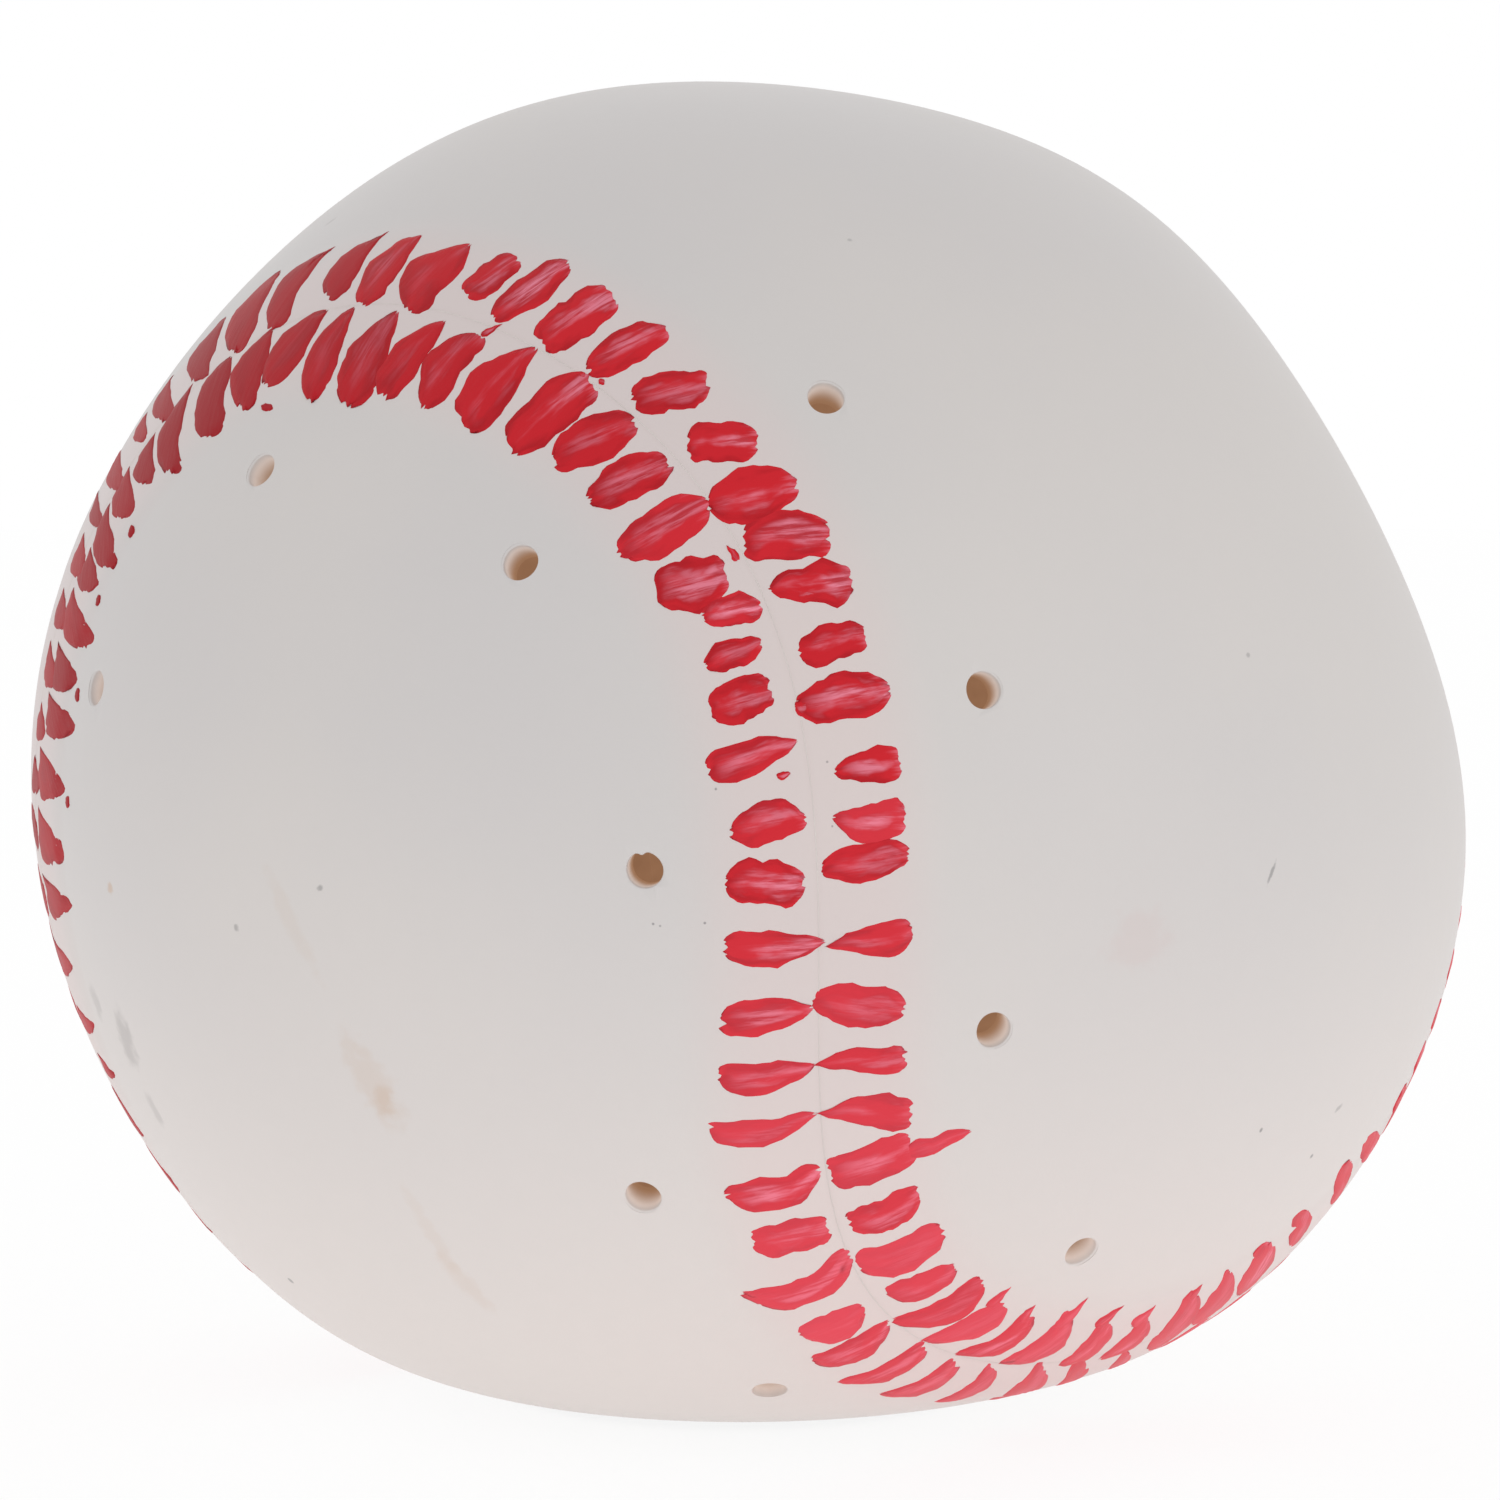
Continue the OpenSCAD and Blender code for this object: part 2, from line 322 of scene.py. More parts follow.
def tint(tree, share, below, above):
    """Lays one colour over another by a share."""
    node = tree.nodes.new("ShaderNodeMix")
    node.data_type = "RGBA"
    sockets = [s for s in node.inputs if s.enabled]
    for socket, value in zip(sockets, (share, below, above)):
        if isinstance(value, bpy.types.NodeSocket):
            tree.links.new(value, socket)
        else:
            socket.default_value = value
    return next(s for s in node.outputs if s.enabled)


def blot_group():
    """A soft spot round a centre. Along, Side and Out are its axes, each divided by its reach."""
    group = bpy.data.node_groups.new("blot", "ShaderNodeTree")
    for name in ("Vector", "Centre", "Along", "Side", "Out"):
        group.interface.new_socket(name, in_out="INPUT", socket_type="NodeSocketVector")
    group.interface.new_socket("Grain", in_out="INPUT", socket_type="NodeSocketFloat")
    group.interface.new_socket("Mask", in_out="OUTPUT", socket_type="NodeSocketFloat")
    start, end = group.nodes.new("NodeGroupInput").outputs, group.nodes.new("NodeGroupOutput")
    offset = vector_calc(group, "SUBTRACT", start["Vector"], start["Centre"])
    reach = [vector_calc(group, "DOT_PRODUCT", offset, start[name], number=True)
             for name in ("Along", "Side", "Out")]
    place = add(group, "ShaderNodeCombineXYZ", dict(enumerate(reach))).outputs[0]
    distance = vector_calc(group, "LENGTH", place, number=True)
    mask = ease(group, calc(group, "ADD", distance, start["Grain"]), 1.0, 0.35)
    group.links.new(mask, end.inputs["Mask"])
    return group


panels = {left: panel_shell("soft_panel_left", left), right: panel_shell("soft_panel_right", right)}
for side, panel in panels.items():
    drill(panel, vent_pins(side))
    note_depths(panel)

# The photograph's camera looks at the ball from the front, a little from above. Its distance and
# its lens were fitted to the ball's outline and seam, so picture points can be laid on the ball.
photo_width = 1500
camera_distance, camera_height_angle = 0.225, math.radians(4)
sensor_width = 36
focal_pixels = 4175.8
picture_middle = (755, 773)
look = np.array([0, math.cos(camera_height_angle), -math.sin(camera_height_angle)])
look_right, look_up = np.array([1.0, 0, 0]), np.array([0, -look[2], look[1]])
camera_place = -camera_distance * look
ray_start_share, ray_steps, ray_caution = 1.15, 60, 0.8

camera = bpy.data.objects.new("camera", bpy.data.cameras.new("camera"))
bpy.context.scene.collection.objects.link(camera)
bpy.context.scene.camera = camera
camera.location = camera_place - ball_middle
camera.rotation_euler = (math.pi / 2 - camera_height_angle, 0, 0)
camera.data.sensor_width = sensor_width
camera.data.lens = focal_pixels * sensor_width / photo_width
camera.data.shift_x = -(picture_middle[0] - photo_width / 2) / photo_width
camera.data.shift_y = (picture_middle[1] - photo_width / 2) / photo_width
camera.data.clip_start, camera.data.clip_end = 0.01, 20


def seen_at(x, y):
    """Points of the ball under picture points, or the nearest to them beyond its outline."""
    x, y = np.asarray(x, float), np.asarray(y, float)
    ray = unit(look + ((x - picture_middle[0]) / focal_pixels)[..., None] * look_right
               + ((picture_middle[1] - y) / focal_pixels)[..., None] * look_up)
    closest = -(ray @ camera_place)
    way = closest - mean_radius * ray_start_share
    for _ in range(ray_steps):
        p = camera_place + way[..., None] * ray
        clear = np.linalg.norm(p, axis=-1) - ball_radius(unit(p))
        way = np.minimum(way + clear * ray_caution, closest)
    return on_ball(unit(camera_place + way[..., None] * ray))


# Signs of play on the skin: tan and grey stains, a pink bruise, scuffs and dust, each a spot
# with its centre, its two half sizes in picture points, its tilt, its colour and its strength.
tan_stain, grey_scuff, pink_bruise, dust = (
    colour(196, 160, 128), colour(156, 150, 148), colour(205, 150, 145), colour(95, 92, 95))
skin_spots = [
    (372, 1082, 26, 60, -30, tan_stain, 0.17), (385, 1100, 13, 20, 0, tan_stain, 0.28),
    (464, 1282, 14, 52, -40, tan_stain, 0.13), (432, 1235, 10, 70, -30, tan_stain, 0.1),
    (290, 920, 12, 70, -25, tan_stain, 0.09), (110, 888, 7, 7, 0, tan_stain, 0.5),
    (96, 1002, 15, 22, -12, grey_scuff, 0.3), (126, 1040, 22, 38, -12, grey_scuff, 0.42),
    (154, 1109, 12, 24, -25, grey_scuff, 0.32), (1140, 940, 44, 34, 0, pink_bruise, 0.09),
    (1272, 872, 2.5, 14, 20, dust, 0.5), (1312, 1156, 3.5, 3.5, 0, dust, 0.6),
    (1261, 1130, 3, 3, 0, dust, 0.6), (1339, 1108, 8, 4, 0, dust, 0.35),
    (653, 924, 1.7, 1.7, 0, dust, 0.6), (660, 926, 1.4, 1.4, 0, dust, 0.5),
    (705, 923, 1.5, 1.5, 0, dust, 0.6), (716, 789, 1.6, 1.6, 0, dust, 0.6),
    (827, 762, 1.3, 1.3, 0, dust, 0.5), (832, 826, 1.3, 1.3, 0, dust, 0.5),
    (320, 888, 4, 4, 0, dust, 0.45), (236, 928, 4, 5, 0, dust, 0.4), (1248, 655, 3, 3, 0, dust, 0.35),
    (1284, 338, 3, 3, 0, dust, 0.4), (850, 240, 3, 3, 0, dust, 0.3), (330, 222, 10, 5, 0, grey_scuff, 0.3)]
skin_white, skin_cool, skin_painted_bounce_light = colour(211, 206, 203), colour(206, 202, 201), colour(223, 215, 211)
hollow_painted_tan, hollow_glow, wall_glow = colour(150, 122, 98), colour(120, 92, 70), colour(130, 118, 110)
seam_painted_red_bleed, crease_painted_shade, fine_shade = colour(222, 198, 196), colour(200, 184, 180), colour(196, 192, 190)
cloud_waves, fine_waves, speck_waves = 28, 900, 260.0
bounce_light_from, bounce_light_to = 0.004, -0.034
spot_depth, large_spot = 0.006, 9
spot_grain_waves = (1500, 4000)


def skin_material():
    material = bpy.data.materials.new("soft_white_skin")
    material.use_nodes = True
    tree = material.node_tree
    shader = tree.nodes["Principled BSDF"]
    place = tree.nodes.new("ShaderNodeTexCoord").outputs["Object"]
    cloud = ease(tree, noise(tree, place, cloud_waves, 3), 0.35, 0.68)
    shade = tint(tree, cloud, skin_cool, skin_white)
    under = add(tree, "ShaderNodeSeparateXYZ", {0: place}).outputs["Z"]
    # The lower part is painted lighter and warmer: painted light bounced up from the floor.
    shade = tint(tree, ease(tree, under, bounce_light_from, bounce_light_to), shade, skin_painted_bounce_light)
    fine = calc(tree, "MULTIPLY", noise(tree, place, fine_waves, 4, 0.6), 0.10)
    shade = tint(tree, fine, shade, fine_shade)
    seam_way = add(tree, "ShaderNodeAttribute", attribute_name="seam_distance").outputs["Fac"]
    # Near the seam the skin is painted pink: painted light that the red paint casts into the pale skin.
    painted_red_bleed = ease(tree, calc(tree, "ADD", seam_way, noise(tree, place, 260, 2)), 7.2, 3.0)
    shade = tint(tree, calc(tree, "MULTIPLY", painted_red_bleed, 0.38), shade, seam_painted_red_bleed)
    # Along the seam crease the skin is painted darker: painted shade.
    crease = ease(tree, seam_way, 0.32, 0.04)
    shade = tint(tree, calc(tree, "MULTIPLY", crease, 0.12), shade, crease_painted_shade)
    speck = add(tree, "ShaderNodeTexVoronoi", {"Vector": place, "Scale": speck_waves})
    rare = add(tree, "ShaderNodeSeparateXYZ", {0: speck.outputs["Color"]}).outputs["X"]
    size = calc(tree, "MULTIPLY", ease(tree, rare, 0.975, 1.0), 0.07)
    dot = ease(tree, calc(tree, "SUBTRACT", size, speck.outputs["Distance"]), 0.0, 0.03)
    shade = tint(tree, calc(tree, "MULTIPLY", dot, 0.5), shade, dust)
    blot = blot_group()
    grains = [calc(tree, "SUBTRACT", noise(tree, place, scale, 3), 0.5) for scale in spot_grain_waves]
    to_metres = camera_distance / focal_pixels
    for x, y, half_x, half_y, tilt, spot_colour, strength in skin_spots:
        centre = seen_at(x, y)
        out = unit(centre)
        a = math.radians(tilt)
        side_on = look_right * math.cos(a) - look_up * math.sin(a)
        side_on = unit(side_on - out * (side_on @ out))
        up_on = np.cross(out, side_on)
        spot = add(tree, "ShaderNodeGroup", node_tree=blot)
        tree.links.new(place, spot.inputs["Vector"])
        values = {"Centre": centre - ball_middle, "Along": side_on / (half_x * to_metres),
                  "Side": up_on / (half_y * to_metres), "Out": out / spot_depth}
        for name, value in values.items():
            spot.inputs[name].default_value = value
        tree.links.new(grains[0 if half_x > large_spot else 1], spot.inputs["Grain"])
        shade = tint(tree, calc(tree, "MULTIPLY", spot.outputs[0], strength), shade, spot_colour)
    depth = add(tree, "ShaderNodeAttribute", attribute_name="wall_depth").outputs["Fac"]
    # Deeper in the wall the colour turns tan: painted shade and through-wall light inside the hollow, over
    # white vinyl.
    painted_hollow_share = ease(tree, depth, 0.12, 0.95)
    shade = tint(tree, painted_hollow_share, shade, hollow_painted_tan)
    tree.links.new(shade, shader.inputs["Base Color"])
    # Light soaks through the thin wall, so a vent is pale inside and the hollow glows a dim tan.
    glow = tint(tree, ease(tree, depth, 0.25, 0.9), wall_glow, hollow_glow)
    dim = calc(tree, "ADD", calc(tree, "MULTIPLY", noise(tree, place, fine_waves, 2), 0.4), 0.8)
    dims = add(tree, "ShaderNodeCombineXYZ", {0: dim, 1: dim, 2: dim}).outputs[0]
    glow = vector_calc(tree, "MULTIPLY", glow, dims)
    glow = tint(tree, ease(tree, depth, 0.01, 0.3), (0, 0, 0, 1), glow)
    tree.links.new(glow, shader.inputs["Emission Color"])
    shader.inputs["Emission Strength"].default_value = 1
    rough = add(tree, "ShaderNodeMapRange", {"Value": cloud, "To Min": 0.42, "To Max": 0.52})
    tree.links.new(rough.outputs["Result"], shader.inputs["Roughness"])
    grain = calc(tree, "ADD", noise(tree, place, 1400, 3, 0.6),
                 calc(tree, "MULTIPLY", noise(tree, place, 150, 3), 2.5))
    bump = add(tree, "ShaderNodeBump", {"Strength": 0.12, "Distance": 0.0001, "Height": grain})
    tree.links.new(bump.outputs["Normal"], shader.inputs["Normal"])
    return material


skin = skin_material()
for panel, node in ((panels[left], "panel_left"), (panels[right], "panel_right")):
    panel.data.materials.append(skin)
    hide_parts(node)
    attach(panel, "root")

# The bond is a thin line of vinyl cement that fills the seam between the rims of the panels.
# It lies flush in the faint crease between them, close to the skin in colour, and dries matte.
bond_rows = 720
bond_top, bond_bottom, bond_overlap = -0.000003, 0.0017, 0.00001
bond_dull, bond_pale = colour(212, 202, 198), colour(218, 210, 206)


def bond_strip():
    turns = 720 * np.arange(bond_rows) / bond_rows
    half = panel_gap / 2 + bond_overlap + 0 * turns
    lines = []
    for side, depth in ((left, bond_top), (right, bond_top), (right, bond_bottom), (left, bond_bottom)):
        n = beside_seam(turns, side * half)
        lines.append(outside_of(n) - n * depth)
    points = np.stack(lines, 1).reshape(-1, 3)
    faces = []
    for row in range(bond_rows):
        here, after = 4 * row, 4 * ((row + 1) % bond_rows)
        for a, b in ((0, 1), (1, 2), (2, 3), (3, 0)):
            faces.append([here + a, after + a, after + b, here + b])
    return mesh_object("bond_line", points, faces)


def bond_material():
    material = bpy.data.materials.new("dried_cement")
    material.use_nodes = True
    tree = material.node_tree
    shader = tree.nodes["Principled BSDF"]
    place = tree.nodes.new("ShaderNodeTexCoord").outputs["Object"]
    beads = ease(tree, noise(tree, place, 400, 3), 0.3, 0.7)
    tree.links.new(tint(tree, beads, bond_dull, bond_pale), shader.inputs["Base Color"])
    rough = add(tree, "ShaderNodeMapRange", {"Value": beads, "To Min": 0.5, "To Max": 0.7})
    tree.links.new(rough.outputs["Result"], shader.inputs["Roughness"])
    bump = add(tree, "ShaderNodeBump", {"Strength": 0.3, "Distance": 0.0001, "Height": beads})
    tree.links.new(bump.outputs["Normal"], shader.inputs["Normal"])
    return material


bond = bond_strip()
bond.data.materials.append(bond_material())
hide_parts("seam_bond")
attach(bond, "root")

# The stitches are painted, not sewn: a loaded brush is laid down at the low end of each mark
# and drawn up to the right, so the start is full and red and the end runs dry and pink.
# Each seen mark: start x, y, end x, y, width in picture points, then its shape and its sag.
mark_shapes = {"petal": (0.42, 0.4), "drop": (0.6, 0.27), "bud": (0.33, 0.66), "blunt": (0.22, 0.22),
               "tail": (0.5, 1.4), "flag": (0.9, 0.28), "scale": (0.45, 1.3), "blade": (0.45, 0.8)}
left_marks = [
    (115, 1078, 99, 1052, 5, "scale"), (93, 1033, 78, 1004, 8, "scale"),
    (69, 976, 54, 936, 9, "scale", 2), (60, 918, 44, 873, 15, "scale", 4),
    (55, 864, 41, 806, 20, "scale"), (51, 800, 42, 746, 19, "scale", 2),
    (59, 739, 51, 692, 22, "scale", 3), (62, 692, 60, 642, 18, "scale", 3),
    (84, 648, 76, 588, 24, "scale", -4), (87, 592, 93, 548, 17, "scale"),
    (109, 568, 112, 504, 20, "scale", -4), (121, 519, 131, 467, 19, "scale"),
    (144, 485, 157, 434, 19, "scale", -2), (170, 473, 194, 386, 23, "scale", -6),
    (207, 439, 231, 357, 28, "blade", -4), (243, 409, 275, 331, 28, "blade", -5),
    (268, 386, 327, 313, 28, "blade", -5), (310, 400, 356, 311, 29, "blade", -5),
    (345, 405, 399, 313, 39, "blade", -2), (384, 397, 446, 322, 33, "bud", -3),
    (423, 407, 482, 337, 36, "petal", -7), (466, 428, 536, 348, 45, "bud", -7),
    (511, 450, 593, 383, 46, "blunt", -4), (553, 460, 636, 425, 46, "petal", -3),
    (588, 497, 669, 463, 43, "petal"), (619, 554, 708, 505, 50, "petal"),
    (657, 593, 726, 575, 51, "blunt"), (703, 618, 761, 605, 33, "petal"),
    (705, 664, 761, 643, 30, "petal"), (711, 710, 771, 692, 45, "blunt"),
    (708, 771, 797, 742, 38, "bud"), (731, 830, 805, 817, 42, "petal"),
    (725, 882, 804, 881, 47, "petal"), (726, 949, 824, 942, 38, "bud"),
    (721, 1019, 812, 1009, 38, "bud"), (719, 1075, 814, 1064, 33, "bud", 7),
    (708, 1126, 815, 1115, 28, "bud", 11), (726, 1193, 819, 1170, 36, "petal", 10),
    (753, 1239, 828, 1226, 32, "blunt", 5), (742, 1291, 851, 1256, 30, "drop", 15),
    (800, 1334, 864, 1307, 30, "petal", 7), (810, 1358, 888, 1322, 24, "petal", 9),
    (838, 1380, 924, 1343, 20, "drop", 9), (879, 1393, 956, 1362, 19, "drop", 8),
    (933, 1401, 993, 1365, 15, "drop", 7), (990, 1400, 1044, 1368, 15, "drop", 4),
    (1044, 1391, 1086, 1364, 11, "drop", 2), (1106, 1370, 1129, 1352, 9, "petal"),
    (1147, 1348, 1171, 1332, 8, "petal")]
right_marks = [
    (37, 793, 37, 755, 6, "scale"), (42, 741, 44, 702, 7, "scale"), (51, 688, 53, 640, 9, "scale"),
    (61, 630, 66, 588, 10, "scale"), (78, 578, 86, 533, 12, "scale"), (97, 528, 100, 492, 10, "scale"),
    (115, 491, 123, 448, 14, "scale"), (139, 443, 149, 414, 11, "scale"),
    (161, 421, 174, 375, 17, "scale"), (194, 382, 226, 317, 21, "blade", -2),
    (233, 353, 279, 272, 25, "blade", -4), (271, 330, 335, 248, 25, "scale", -8),
    (327, 298, 387, 235, 27, "scale", -5), (362, 306, 423, 237, 27, "blade", -5),
    (408, 311, 471, 247, 41, "blade", -7), (466, 295, 519, 262, 26, "blunt"),
    (494, 320, 570, 268, 31, "petal"), (541, 344, 613, 296, 41, "blunt"),
    (588, 369, 667, 331, 37, "petal"), (634, 404, 708, 382, 38, "blunt"),
    (687, 446, 758, 440, 41, "blunt"), (708, 505, 798, 486, 54, "petal"),
    (742, 540, 829, 534, 48, "blunt"), (769, 593, 851, 580, 43, "drop"),
    (799, 650, 866, 637, 38, "blunt"), (797, 706, 889, 688, 48, "petal"),
    (834, 768, 900, 762, 36, "drop"), (833, 818, 905, 820, 42, "drop"),
    (821, 871, 909, 856, 39, "petal"), (825, 946, 913, 935, 35, "flag"),
    (812, 1002, 904, 1011, 43, "petal"), (812, 1064, 906, 1055, 30, "flag"),
    (816, 1111, 911, 1110, 36, "flag"), (828, 1168, 912, 1142, 38, "blunt", 5),
    (849, 1222, 919, 1192, 31, "blunt", 6), (857, 1262, 942, 1230, 33, "blunt", 8),
    (885, 1290, 955, 1265, 25, "petal", 6), (891, 1318, 984, 1283, 27, "drop", 10),
    (923, 1339, 1003, 1302, 23, "drop", 8), (955, 1353, 1031, 1314, 20, "drop", 9),
    (1000, 1362, 1069, 1314, 22, "drop", 10), (1058, 1363, 1108, 1320, 18, "drop", 7),
    (1100, 1357, 1146, 1316, 15, "drop", 6), (1148, 1346, 1195, 1291, 17, "petal", 5),
    (1190, 1323, 1231, 1271, 16, "petal", 4), (1237, 1294, 1271, 1243, 14, "petal"),
    (1289, 1244, 1308, 1211, 12, "petal"), (1330, 1203, 1351, 1161, 8, "petal"),
    (1361, 1162, 1378, 1132, 7, "petal")]
paint_dabs = {
    left: [(727, 546, 738, 561, 8, "flag"), (262, 408, 273, 407, 7, "blunt"),
           (130, 538, 134, 526, 4, "petal"), (97, 606, 100, 595, 3, "petal"),
           (77, 702, 78, 688, 4, "petal"), (67, 808, 68, 796, 4, "petal"),
           (777, 777, 790, 773, 8, "bud"), (482, 337, 503, 325, 6, "tail")],
    right: [(580, 376, 586, 376, 6, "blunt"), (599, 383, 605, 383, 6, "blunt"),
            (795, 708, 807, 707, 15, "blunt"), (905, 1152, 971, 1132, 18, "bud"),
            (797, 596, 815, 594, 12, "tail"), (986, 1306, 1012, 1284, 8, "tail"),
            (1020, 1321, 1035, 1303, 8, "tail"), (1054, 1327, 1088, 1298, 10, "tail"),
            (1094, 1325, 1123, 1304, 8, "tail"), (1132, 1325, 1154, 1303, 8, "tail"),
            (1187, 1298, 1202, 1283, 6, "tail")]}
mark_pitch, mark_length, mark_width = 0.0032, 0.0043, 0.0022
mark_seam_clearance, usual_distance, stray_reach = 0.0008, 0.0023, 0.009
paint_thickness, paint_bedding = 0.00005, 0.00003
least_width, most_width, most_bow = 0.0003, 0.0055, 0.0012
place_scatter, lean_scatter, sag_scatter, tone_scatter = 0.0002, 0.12, 0.0002, 0.15
length_scatter, width_scatter, clearance_scatter = (0.9, 1.12), (0.85, 1.15), (0.6, 1.3)
foot_reach, foot_margin = 0.0026, 0.0002
# Picture points where the paint starts to lighten towards the foot, partly painted light and partly thinner
# paint, and to darken to the left, painted shade.
foot_start, foot_span, foot_thin_and_lit = 720, 680, 0.7
left_start, left_span, left_painted_shade = 620, 400, 0.9
mark_random = np.random.default_rng(11)
seam_lengths = np.append(0, np.cumsum(np.linalg.norm(np.diff(seam_points, axis=0), axis=-1)))
seam_length = seam_lengths[-1] + np.linalg.norm(seam_points[0] - seam_points[-1])


def to_picture(p):
    """Picture points of points on the ball."""
    v = p - camera_place
    ahead = v @ look
    return np.stack([picture_middle[0] + focal_pixels * (v @ look_right) / ahead,
                     picture_middle[1] - focal_pixels * (v @ look_up) / ahead], -1)


def seen_stroke(x0, y0, x1, y1, width, shape, sag=0):
    """A stroke where the picture shows it, with its real length, width and slant.

    It is its middle, its two directions, its length, width, two tapers and bow, then picture x, y.
    """
    ends = seen_at([x0, x1], [y0, y1])
    middle = on_ball(unit(ends.mean(0)))
    along = unit(ends[1] - ends[0])
    drawn = to_picture(ends[1]) - to_picture(ends[0])
    left_hand = np.array([drawn[1], -drawn[0]]) / np.linalg.norm(drawn)
    ways = [along, unit(np.cross(unit(middle), along))]
    step = 0.0005
    slopes = np.stack([to_picture(middle + way * step) - to_picture(middle - way * step)
                       for way in ways], 1)
    shares = np.linalg.solve(slopes / (2 * step), left_hand)
    side = shares[0] * ways[0] + shares[1] * ways[1]
    metres = np.linalg.norm(side)
    real = np.clip(width * metres, least_width, most_width)
    bow = np.clip(sag * metres, -most_bow, most_bow)
    length = np.linalg.norm(ends[1] - ends[0])
    x, y = (x0 + x1) / 2, (y0 + y1) / 2
    return middle, along, side / metres, length, real, *mark_shapes[shape], bow, x, y


def seam_place(p):
    """How far along the seam a point is."""
    return seam_lengths[seam_tree.find(p)[1]]


def lean_of(stroke, side):
    """How far a stroke slants from square across the seam, in radians."""
    index = seam_tree.find(stroke[0])[1]
    t = seam_turns[index]
    across = np.cross(seam_direction(t), seam_along(t)) * side
    run = stroke[1] * (1 if side == right else -1)
    return math.atan2(run @ seam_along(t), run @ across)


def hidden_strokes(side, seen):
    """Strokes at an even pitch where the picture shows none, from the last seen one round to the first."""
    places = np.array([seam_place(s[0]) for s in seen])
    start, stop = places[-1], places[0]
    gap = (stop - start) % seam_length
    count = round(gap / mark_pitch)
    usual_lean = np.median([lean_of(s, side) for s in seen])
    strays = [np.median([seam_tree.find(s[0])[2] for s in part]) - usual_distance
              for part in (seen[-3:], seen[:3])]
    strokes = []
    for k in range(1, count):
        share = k / count
        place = (start + gap * share + mark_random.uniform(-place_scatter, place_scatter)) % seam_length
        t = np.interp(place, np.append(seam_lengths, seam_length), np.append(seam_turns, 720))
        lean = usual_lean + mark_random.uniform(-lean_scatter, lean_scatter)
        length = mark_length * mark_random.uniform(*length_scatter)
        near = mark_seam_clearance * mark_random.uniform(*clearance_scatter)
        near += (strays[0] * math.exp(-gap * share / stray_reach)
                 + strays[1] * math.exp(-gap * (1 - share) / stray_reach))
        middle = on_ball(beside_seam(t, side * (near + length / 2 * math.cos(lean))))
        n = unit(middle)
        along, across = seam_along(t), np.cross(seam_direction(t), seam_along(t)) * side
        run = across * math.cos(lean) + along * math.sin(lean)
        run = unit(run - n * (run @ n)) * (1 if side == right else -1)
        width = mark_width * mark_random.uniform(*width_scatter)
        shape = mark_shapes[mark_random.choice(["petal", "petal", "drop", "bud", "blunt"])]
        sag = mark_random.uniform(-sag_scatter, sag_scatter)
        strokes.append((middle, run, np.cross(n, run), length, width, *shape, sag, *to_picture(middle)))
    return [s for s in strokes if s[0][2] > rest_height + foot_margin or abs(s[0][0]) > foot_reach]


def guide_points(name, side, seen, dabs):
    """A point for each stroke, which carries its direction, size and shape."""
    found = [seen_stroke(*mark) for mark in seen]
    strokes = found + [seen_stroke(*dab) for dab in dabs] + hidden_strokes(side, found)
    guides = mesh_object(name, [s[0] for s in strokes], [])
    attributes = guides.data.attributes
    for label, column in (("stroke_along", 1), ("stroke_side", 2), ("stroke_out", 0)):
        values = np.array([s[column] if column else unit(s[0]) for s in strokes], np.float32)
        attributes.new(label, "FLOAT_VECTOR", "POINT").data.foreach_set("vector", values.ravel())
    labels = ("stroke_length", "stroke_width", "start_taper", "end_taper", "stroke_sag")
    for column, label in enumerate(labels, 3):
        store(guides.data, label, np.array([s[column] for s in strokes]))
    store(guides.data, "stroke_seed", mark_random.uniform(0, 100, len(strokes)))
    # Marks are darkest on the far left, in painted shade, and lightest at the foot, partly painted light
    # and partly where the paint ran thin.
    x, y = np.array([s[8] for s in strokes]), np.array([s[9] for s in strokes])
    light_shade_and_tone = np.clip((y - foot_start) / foot_span, 0, 1) * foot_thin_and_lit
    light_shade_and_tone = light_shade_and_tone - np.clip((left_start - x) / left_span, 0, 1) * left_painted_shade
    store(guides.data, "stroke_tone", light_shade_and_tone + mark_random.uniform(-tone_scatter, tone_scatter, len(strokes)))
    store(guides.data, "stroke_seen", np.arange(len(strokes)) < len(found) + len(dabs))
    return guides


# Blocks of this many points make a seen mark and a hidden one.
seen_block, hidden_block = (19, 12), (9, 5)
edge_waves_along, edge_waves_across, tip_waves, hand_waves = 3.4, 0.9, 1.9, 1.8
tip_reach, waver_share, most_waver_width = 0.3, 0.5, 0.0018
skin_clearance, drop_height, drop_length = 0.000006, 0.004, 0.02


